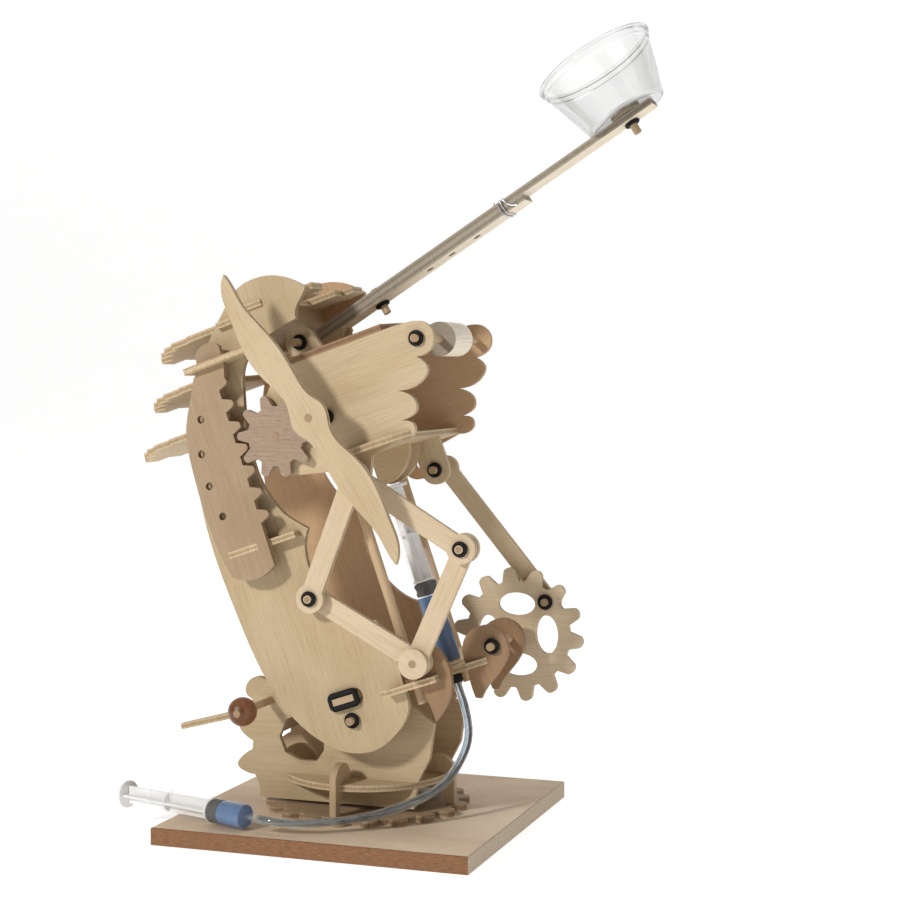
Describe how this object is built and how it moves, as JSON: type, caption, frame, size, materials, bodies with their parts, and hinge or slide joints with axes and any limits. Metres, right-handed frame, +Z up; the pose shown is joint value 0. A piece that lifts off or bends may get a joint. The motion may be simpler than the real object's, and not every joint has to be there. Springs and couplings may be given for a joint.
{
  "type": "robot_arm_kit",
  "caption": "Wooden hydraulic robot arm kit: leaning plywood arm on a turning base, syringe and clear hose, rack and pinion, crank gear, and a hinged slat with a clear cup",
  "frame": {"origin": "centre of the underside of the square base board", "axes": "+Z up, +X along the board's front edge towards the front gear, -Y towards the side with the rack and the sword"},
  "size_m": [0.3397, 0.2, 0.487],
  "materials": {
    "birch_ply": "smooth laser-cut plywood with fine grain",
    "dowel_wood": "plain turned dowel",
    "board_mdf": "brown fibreboard, raw",
    "walnut": "open-grained dark wood",
    "pale_beech": "pale turned wood",
    "stained_wood": "reddish stain, satin",
    "black_rubber": "matte black rubber",
    "clear_barrel": "clear moulded plastic",
    "frosted_plunger": "milky translucent plastic",
    "blue_liquid": "blue-tinted water",
    "clear_hose": "clear soft tube",
    "clear_cup": "thin clear moulded cup",
    "steel_wire": "bent spring wire"
  },
  "bodies": {
    "root": {"board": "board_mdf", "base_gear": "birch_ply", "turret_post": "dowel_wood", "hand_barrel": "clear_barrel", "hand_liquid": "blue_liquid", "hose_lower": "clear_hose"},
    "turret": {"turret_disc": "birch_ply", "glide_legs": "birch_ply", "near_cheek": "birch_ply", "far_cheek": "birch_ply", "turret_bars": "birch_ply", "arm_pivot_dowel": "dowel_wood", "tail_lever": "birch_ply", "turret_rings": "black_rubber", "hose_upper": "clear_hose"},
    "crank": {"crank_dowel": "stained_wood", "crank_ball": "stained_wood"},
    "arm": {"near_arm_plate": "birch_ply", "far_arm_plate": "birch_ply", "spine_plates": "birch_ply", "rack_plate": "birch_ply", "rack_guides": "birch_ply", "head_crest": "birch_ply", "head_wall": "birch_ply", "shelf_plate": "birch_ply", "claw_brackets": "birch_ply", "arm_pins": "dowel_wood", "upper_barrel": "clear_barrel", "upper_liquid": "blue_liquid", "hose_connector": "black_rubber"},
    "hand": {"near_wing": "birch_ply", "far_wing": "birch_ply", "hand_deck": "birch_ply", "hand_floor": "birch_ply", "chin_plates": "birch_ply", "hand_lugs": "birch_ply", "hand_dowels": "dowel_wood", "guide_rods": "dowel_wood", "hand_rings": "black_rubber", "upper_plunger": "frosted_plunger"},
    "pinion": {"pinion": "walnut"},
    "sword": {"sword": "birch_ply"},
    "roller": {"roller": "pale_beech"},
    "catapult": {"catapult_root": "birch_ply", "lower_slat": "birch_ply", "upper_slat": "birch_ply", "catapult_pegs": "dowel_wood", "catapult_rings": "black_rubber", "spring_clip": "steel_wire", "cup": "clear_cup", "cup_washer": "walnut"},
    "left_lower_link": {"left_lower_link": "birch_ply"},
    "right_lower_link": {"right_lower_link": "birch_ply"},
    "left_upper_link": {"left_upper_link": "birch_ply"},
    "right_upper_link": {"right_upper_link": "birch_ply"},
    "front_gear": {"front_gear": "birch_ply", "gear_pins": "dowel_wood", "gear_rings": "black_rubber"},
    "long_rod": {"long_rod": "birch_ply"},
    "hand_plunger": {"hand_plunger": "frosted_plunger"}
  },
  "joints": [
    {"name": "turret_turn", "type": "hinge", "parent": "root", "child": "turret", "pos_m": [0, 0, 0.0335], "axis": [0, 0, 1], "range_deg": [-40, 40], "deforming": ["hose_lower", "hose_upper"]},
    {"name": "crank_turn", "type": "hinge", "parent": "turret", "child": "crank", "pos_m": [-0.053, 0, 0.078], "axis": [0, 1, 0], "continuous": true},
    {"name": "arm_tilt", "type": "hinge", "parent": "turret", "child": "arm", "pos_m": [0.01, 0, 0.073], "axis": [0, 1, 0], "range_deg": [-11, 5]},
    {"name": "hand_slide", "type": "slide", "parent": "arm", "child": "hand", "axis": [-0.3256, 0, 0.9455], "range_m": [-0.018, 0.004], "deforming": ["upper_liquid"]},
    {"name": "pinion_turn", "type": "hinge", "parent": "hand", "child": "pinion", "pos_m": [-0.03482, 0, 0.24371], "axis": [0, 1, 0], "range_deg": [-20, 60]},
    {"name": "sword_turn", "type": "hinge", "parent": "hand", "child": "sword", "pos_m": [-0.00366, 0, 0.2555], "axis": [0, 1, 0], "continuous": true},
    {"name": "roller_turn", "type": "hinge", "parent": "hand", "child": "roller", "pos_m": [0.05328, 0, 0.30207], "axis": [0, 1, 0], "continuous": true},
    {"name": "catapult_swing", "type": "hinge", "parent": "hand", "child": "catapult", "pos_m": [-0.03066, 0, 0.30014], "axis": [0, 1, 0], "range_deg": [-45, 12]},
    {"name": "left_lower_swing", "type": "hinge", "parent": "arm", "child": "left_lower_link", "pos_m": [0.05295, 0, 0.11106], "axis": [0, 1, 0], "range_deg": [-15, 8]},
    {"name": "right_lower_swing", "type": "hinge", "parent": "arm", "child": "right_lower_link", "pos_m": [0.05295, 0, 0.11106], "axis": [0, 1, 0], "range_deg": [-8, 15]},
    {"name": "left_upper_swing", "type": "hinge", "parent": "left_lower_link", "child": "left_upper_link", "pos_m": [-0.01353, 0, 0.14655], "axis": [0, 1, 0], "range_deg": [-12, 28]},
    {"name": "right_upper_swing", "type": "hinge", "parent": "right_lower_link", "child": "right_upper_link", "pos_m": [0.08348, 0, 0.17995], "axis": [0, 1, 0], "range_deg": [-28, 12]},
    {"name": "gear_turn", "type": "hinge", "parent": "arm", "child": "front_gear", "pos_m": [0.09013, 0, 0.11825], "axis": [0, 1, 0], "range_deg": [-15, 45]},
    {"name": "long_rod_swing", "type": "hinge", "parent": "hand", "child": "long_rod", "pos_m": [0.04048, 0, 0.22099], "axis": [0, 1, 0], "range_deg": [-10, 10]},
    {"name": "hand_plunger_push", "type": "slide", "parent": "root", "child": "hand_plunger", "axis": [0.9563, -0.2924, 0], "range_m": [-0.018, 0.004], "deforming": ["hand_liquid"]}
  ],
  "couplings": [
    {"joint": "pinion_turn", "follows": "hand_slide", "rad_per_m": -44.843},
    {"joint": "left_lower_swing", "follows": "hand_slide", "rad_per_m": 9.675},
    {"joint": "right_lower_swing", "follows": "hand_slide", "rad_per_m": -9.675},
    {"joint": "left_upper_swing", "follows": "hand_slide", "rad_per_m": -18.225},
    {"joint": "right_upper_swing", "follows": "hand_slide", "rad_per_m": 18.225},
    {"joint": "gear_turn", "follows": "hand_slide", "rad_per_m": -32.7},
    {"joint": "long_rod_swing", "follows": "hand_slide", "rad_per_m": 2.7},
    {"joint": "hand_plunger_push", "follows": "hand_slide", "ratio": 1}
  ]
}
